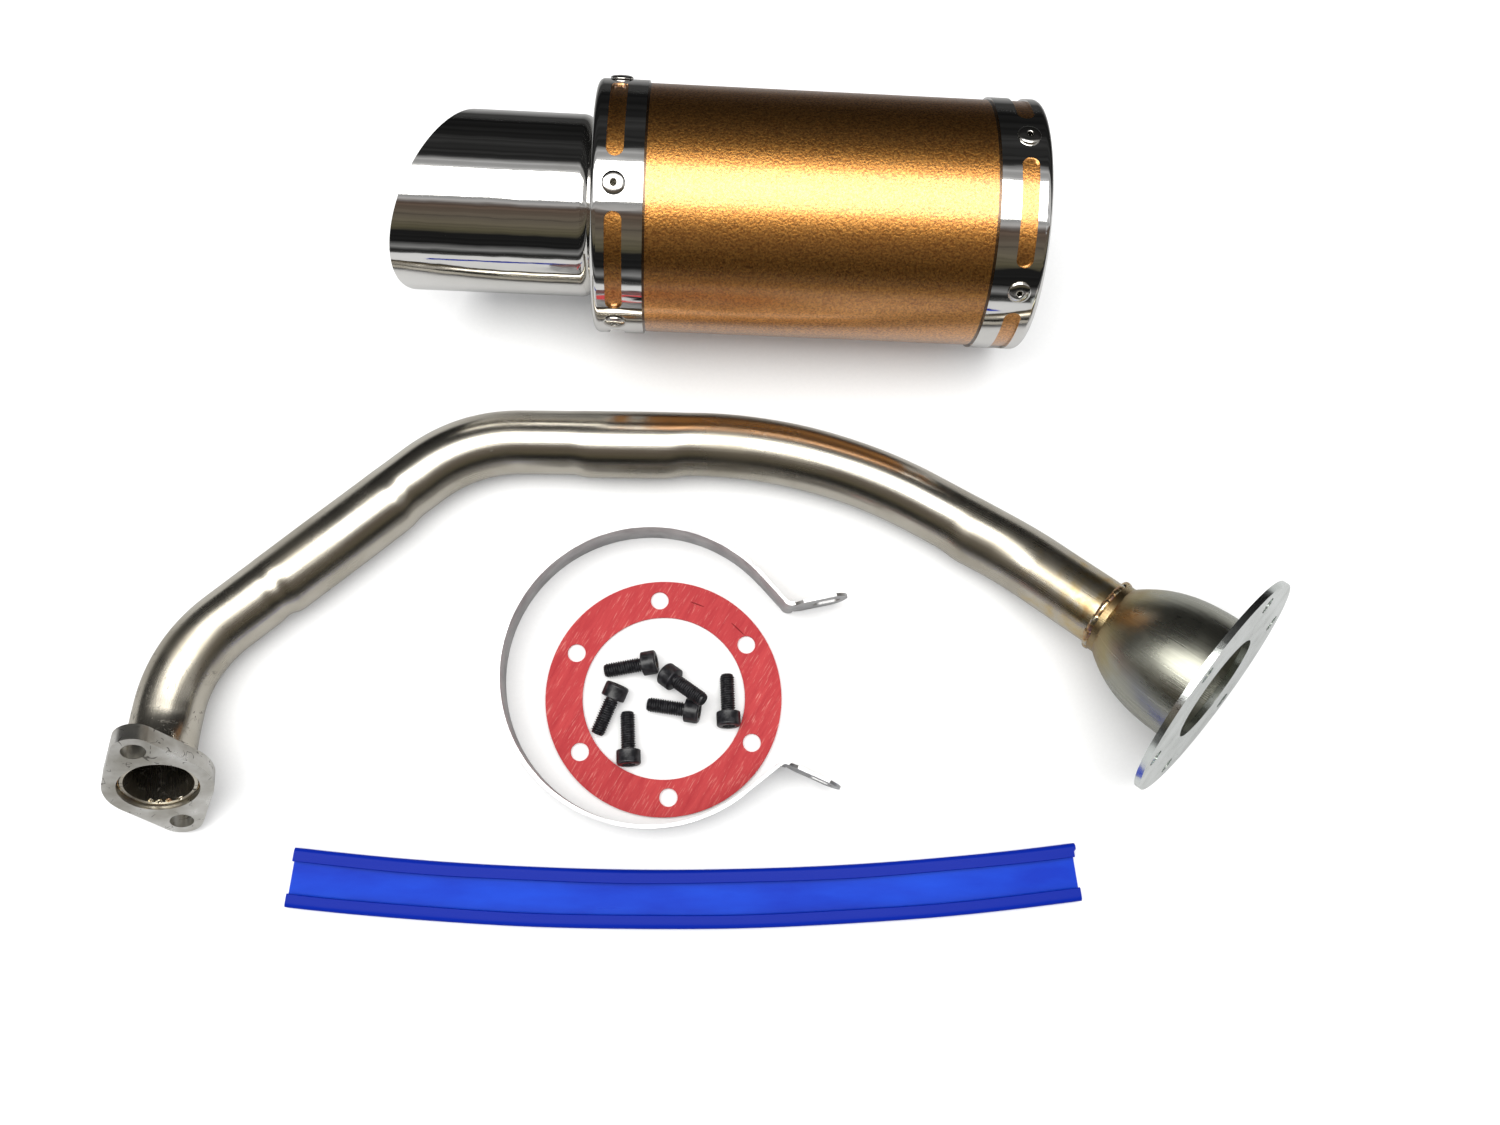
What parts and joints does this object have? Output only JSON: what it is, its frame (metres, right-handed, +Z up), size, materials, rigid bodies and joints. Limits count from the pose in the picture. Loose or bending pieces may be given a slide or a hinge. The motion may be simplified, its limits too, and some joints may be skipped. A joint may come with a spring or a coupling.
{
  "type": "racing exhaust kit",
  "caption": "Loose exhaust kit: bent header pipe with flanges, riveted round canister with slash-cut tip, open clamp band, channel liner, flange gasket and cap screws.",
  "frame": {"origin": "on the flat surface that the kit lies on, at the middle of the whole layout", "axes": "+X along the layout's long side from the engine flange to the bell, +Y from the liner to the canister, +Z up"},
  "size_m": [0.4634, 0.3383, 0.1006],
  "materials": {
    "polished_tube": "polished stainless tube with fine draw lines",
    "zinc_plate": "zinc-plated steel plate, lightly scuffed",
    "weld_bead": "heat-tinted weld bead",
    "brushed_bell": "satin spun stainless",
    "gold_anodised": "bead-blasted gold-anodised aluminium",
    "chrome_cap": "mirror-polished stainless",
    "rivet_steel": "bright pop rivet",
    "plain_steel": "plain mill-finish steel",
    "glass_fibre": "glass-fibre sound packing",
    "satin_band": "satin stainless strip",
    "blue_liner": "translucent blue soft plastic",
    "red_fibre": "red compressed-fibre sheet",
    "black_oxide": "black-oxide steel"
  },
  "bodies": {
    "header": {"header_pipe": "polished_tube", "head_flange": "zinc_plate", "head_weld": "weld_bead", "bell": "brushed_bell", "neck_weld": "weld_bead", "bell_flange": "zinc_plate", "mouth_weld": "weld_bead"},
    "canister": {"sleeve": "gold_anodised", "outlet_cap": "chrome_cap", "inlet_cap": "chrome_cap", "outlet_rivets": "rivet_steel", "inlet_rivets": "rivet_steel", "outlet_bulkhead": "plain_steel", "inlet_plate": "plain_steel", "core_tube": "plain_steel", "packing": "glass_fibre", "tip": "chrome_cap", "tip_weld": "weld_bead"},
    "clamp": {"clamp_band": "satin_band"},
    "channel_liner": {"liner": "blue_liner"},
    "gasket": {"gasket": "red_fibre"},
    "screw_one": {"screw_1": "black_oxide"},
    "screw_two": {"screw_2": "black_oxide"},
    "screw_three": {"screw_3": "black_oxide"},
    "screw_four": {"screw_4": "black_oxide"},
    "screw_five": {"screw_5": "black_oxide"},
    "screw_six": {"screw_6": "black_oxide"}
  },
  "joints": [
    {"name": "lift_canister", "type": "slide", "parent": "header", "child": "canister", "axis": [0, 0, 1], "range_m": [0, 0.2]},
    {"name": "lift_clamp", "type": "slide", "parent": "header", "child": "clamp", "axis": [0, 0, 1], "range_m": [0, 0.15]},
    {"name": "lift_liner", "type": "slide", "parent": "header", "child": "channel_liner", "axis": [0, 0, 1], "range_m": [0, 0.15]},
    {"name": "lift_gasket", "type": "slide", "parent": "header", "child": "gasket", "axis": [0, 0, 1], "range_m": [0, 0.1]},
    {"name": "lift_screw_one", "type": "slide", "parent": "gasket", "child": "screw_one", "axis": [0, 0, 1], "range_m": [0, 0.05]},
    {"name": "lift_screw_three", "type": "slide", "parent": "gasket", "child": "screw_three", "axis": [0, 0, 1], "range_m": [0, 0.05]},
    {"name": "lift_screw_four", "type": "slide", "parent": "gasket", "child": "screw_four", "axis": [0, 0, 1], "range_m": [0, 0.05]},
    {"name": "lift_screw_two", "type": "slide", "parent": "screw_four", "child": "screw_two", "axis": [0, 0, 1], "range_m": [0, 0.05]},
    {"name": "lift_screw_five", "type": "slide", "parent": "gasket", "child": "screw_five", "axis": [0, 0, 1], "range_m": [0, 0.05]},
    {"name": "lift_screw_six", "type": "slide", "parent": "gasket", "child": "screw_six", "axis": [0, 0, 1], "range_m": [0, 0.05]}
  ]
}
